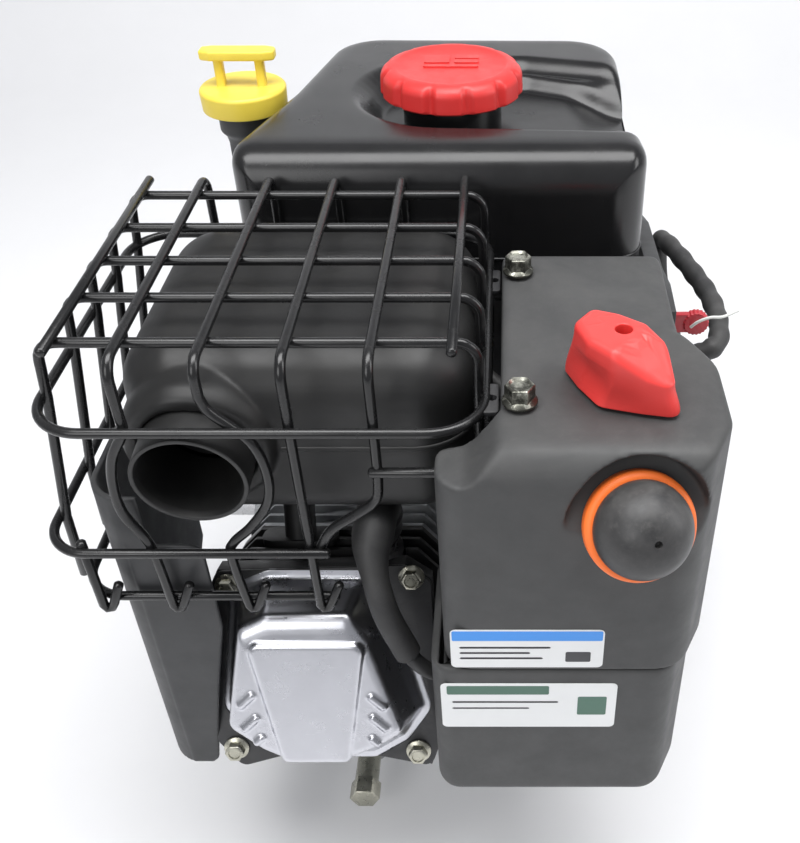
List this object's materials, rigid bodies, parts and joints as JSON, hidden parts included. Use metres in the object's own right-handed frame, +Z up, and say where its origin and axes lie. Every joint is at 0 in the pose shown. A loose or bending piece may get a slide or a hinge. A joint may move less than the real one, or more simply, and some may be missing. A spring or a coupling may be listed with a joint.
{
  "type": "small gasoline engine",
  "caption": "Small single-cylinder overhead-valve gasoline engine with top fuel tank, caged muffler, choke, primer and recoil starter.",
  "frame": {"origin": "on the underside of the base flange, straight below the crankshaft axis, in the plane of the cylinder's axis", "axes": "+X towards the starter and flywheel side, -X along the output shaft, -Y towards the cylinder head and valve cover, +Z up towards the fuel tank"},
  "size_m": [0.33, 0.3736, 0.383],
  "materials": {
    "cast_aluminium": "sand-cast, dull",
    "bright_steel": "pressed or ground bright steel",
    "zinc_plating": "yellowish zinc plating",
    "cast_iron": "cast, machined rim",
    "exhaust_steel": "heat-darkened steel",
    "black_paint": "satin black paint",
    "muffler_black": "heat-resistant black paint",
    "guard_black": "semi-gloss black coating",
    "brass": "machined",
    "matte_black_plastic": "fine-grained black plastic",
    "gloss_black_plastic": "smooth black plastic",
    "red_plastic": "red plastic",
    "yellow_plastic": "pale yellow plastic",
    "orange_rubber": "orange rubber",
    "black_rubber": "matte black rubber",
    "gasket_paper": "grey fibre",
    "rope": "braided nylon"
  },
  "bodies": {
    "engine": {"crankcase": "cast_aluminium", "crankcase_cover": "cast_aluminium", "bearing_pto": "bright_steel", "bearing_flywheel": "bright_steel", "oil_seal": "black_rubber", "oil_drain_plug": "zinc_plating", "connecting_rod": "cast_aluminium", "piston": "cast_aluminium", "wrist_pin": "bright_steel", "cylinder_head": "cast_aluminium", "head_gasket": "gasket_paper", "spark_plug": "bright_steel", "plug_lead": "black_rubber", "valve_cover": "bright_steel", "intake_spring": "bright_steel", "exhaust_spring": "bright_steel", "ignition_coil": "bright_steel", "blower_housing": "black_paint", "recoil_cover": "black_paint", "starter_rope": "rope", "fuel_tank": "gloss_black_plastic", "fuel_valve": "brass", "fuel_line": "black_rubber", "carburetor": "cast_aluminium", "intake_manifold": "cast_aluminium", "snow_hood": "matte_black_plastic", "carb_shroud": "matte_black_plastic", "primer_ring": "orange_rubber", "hood_bolt_rear": "zinc_plating", "hood_bolt_front": "zinc_plating", "switch_panel": "matte_black_plastic", "muffler": "muffler_black", "muffler_outlet": "muffler_black", "exhaust_pipe": "exhaust_steel", "muffler_guard": "guard_black", "cylinder_shroud": "matte_black_plastic", "oil_fill_tube": "matte_black_plastic", "tank_bracket": "black_paint"},
    "crank": {"crankshaft": "bright_steel", "flywheel": "cast_iron", "cooling_fan": "matte_black_plastic", "flywheel_nut": "zinc_plating"},
    "camshaft": {"camshaft": "bright_steel"},
    "rod_big_end": {"rod_big_end": "cast_aluminium"},
    "intake_valve": {"intake_valve": "bright_steel"},
    "exhaust_valve": {"exhaust_valve": "bright_steel"},
    "intake_rocker": {"intake_rocker": "bright_steel"},
    "exhaust_rocker": {"exhaust_rocker": "bright_steel"},
    "intake_pushrod": {"intake_pushrod": "bright_steel"},
    "exhaust_pushrod": {"exhaust_pushrod": "bright_steel"},
    "recoil_handle": {"recoil_handle": "black_rubber"},
    "recoil_pulley": {"recoil_pulley": "matte_black_plastic"},
    "choke": {"choke_knob": "red_plastic", "choke_shaft": "brass"},
    "throttle": {"throttle_shaft": "brass"},
    "primer_bulb": {"primer_bulb": "black_rubber"},
    "cap_gasket": {"cap_gasket": "black_rubber"},
    "fuel_cap": {"fuel_cap": "red_plastic"},
    "oil_cap": {"oil_cap": "yellow_plastic"},
    "ignition_key": {"ignition_key": "red_plastic"}
  },
  "joints": [
    {"name": "crank_spin", "type": "hinge", "parent": "engine", "child": "crank", "pos_m": [0, 0, 0.105], "axis": [1, 0, 0], "continuous": true},
    {"name": "cam_spin", "type": "hinge", "parent": "engine", "child": "camshaft", "pos_m": [0, -0.05469, 0.0717], "axis": [1, 0, 0], "continuous": true},
    {"name": "big_end_orbit", "type": "hinge", "parent": "crank", "child": "rod_big_end", "pos_m": [0, -0.02537, 0.11424], "axis": [1, 0, 0], "continuous": true},
    {"name": "intake_valve_lift", "type": "slide", "parent": "engine", "child": "intake_valve", "axis": [0, 0.9397, -0.342], "range_m": [0, 0.005], "stiffness_N_per_m": 4000, "springref_m": -0.002, "deforming": ["intake_spring"]},
    {"name": "intake_rocker_tilt", "type": "hinge", "parent": "engine", "child": "intake_rocker", "pos_m": [0.0117, -0.19948, 0.15925], "axis": [-0.999, -0.0154, -0.0422], "range_deg": [0, 12.1]},
    {"name": "intake_pushrod_rise", "type": "slide", "parent": "engine", "child": "intake_pushrod", "axis": [0, -0.9397, 0.342], "range_m": [0, 0.0044]},
    {"name": "exhaust_valve_lift", "type": "slide", "parent": "engine", "child": "exhaust_valve", "axis": [0, 0.9397, -0.342], "range_m": [0, 0.005], "stiffness_N_per_m": 4000, "springref_m": -0.002, "deforming": ["exhaust_spring"]},
    {"name": "exhaust_rocker_tilt", "type": "hinge", "parent": "engine", "child": "exhaust_rocker", "pos_m": [-0.0183, -0.19948, 0.15925], "axis": [-0.999, 0.0154, 0.0422], "range_deg": [0, 12.1]},
    {"name": "exhaust_pushrod_rise", "type": "slide", "parent": "engine", "child": "exhaust_pushrod", "axis": [0, -0.9397, 0.342], "range_m": [0, 0.0044]},
    {"name": "starter_pull", "type": "slide", "parent": "engine", "child": "recoil_handle", "axis": [0.2791, 0, 0.9603], "range_m": [0, 0.6], "stiffness_N_per_m": 20, "springref_m": -0.3},
    {"name": "recoil_pulley_spin", "type": "hinge", "parent": "engine", "child": "recoil_pulley", "pos_m": [0, 0, 0.105], "axis": [1, 0, 0], "range_deg": [0, 757]},
    {"name": "choke_turn", "type": "hinge", "parent": "engine", "child": "choke", "pos_m": [0.125, -0.19, 0.336], "axis": [0, 0, 1], "range_deg": [0, 75]},
    {"name": "throttle_turn", "type": "hinge", "parent": "engine", "child": "throttle", "pos_m": [0.103, -0.19, 0.212], "axis": [0, 0, 1], "range_deg": [0, 75], "stiffness_Nm_per_rad": 0.02, "springref_deg": -5.73},
    {"name": "primer_press", "type": "slide", "parent": "engine", "child": "primer_bulb", "axis": [-0.1055, 0.8596, -0.5], "range_m": [0, 0.008], "stiffness_N_per_m": 900, "deforming": ["primer_bulb"]},
    {"name": "fuel_cap_lift", "type": "slide", "parent": "engine", "child": "cap_gasket", "axis": [0, 0, 1], "range_m": [0, 0.06]},
    {"name": "fuel_cap_turn", "type": "hinge", "parent": "cap_gasket", "child": "fuel_cap", "pos_m": [0.054, 0.024, 0.367], "axis": [0, 0, 1], "range_deg": [0, 90]},
    {"name": "oil_cap_pull", "type": "slide", "parent": "engine", "child": "oil_cap", "axis": [0, 0, 1], "range_m": [0, 0.2]},
    {"name": "key_pull", "type": "slide", "parent": "engine", "child": "ignition_key", "axis": [1, 0, 0], "range_m": [0, 0.02]}
  ],
  "couplings": [
    {"joint": "cam_spin", "follows": "crank_spin", "ratio": -0.5},
    {"joint": "big_end_orbit", "follows": "crank_spin", "ratio": -1},
    {"joint": "intake_rocker_tilt", "follows": "intake_valve_lift", "rad_per_m": 42},
    {"joint": "intake_pushrod_rise", "follows": "intake_valve_lift", "ratio": 0.86},
    {"joint": "exhaust_rocker_tilt", "follows": "exhaust_valve_lift", "rad_per_m": 42},
    {"joint": "exhaust_pushrod_rise", "follows": "exhaust_valve_lift", "ratio": 0.86},
    {"joint": "recoil_pulley_spin", "follows": "starter_pull", "rad_per_m": 22}
  ]
}
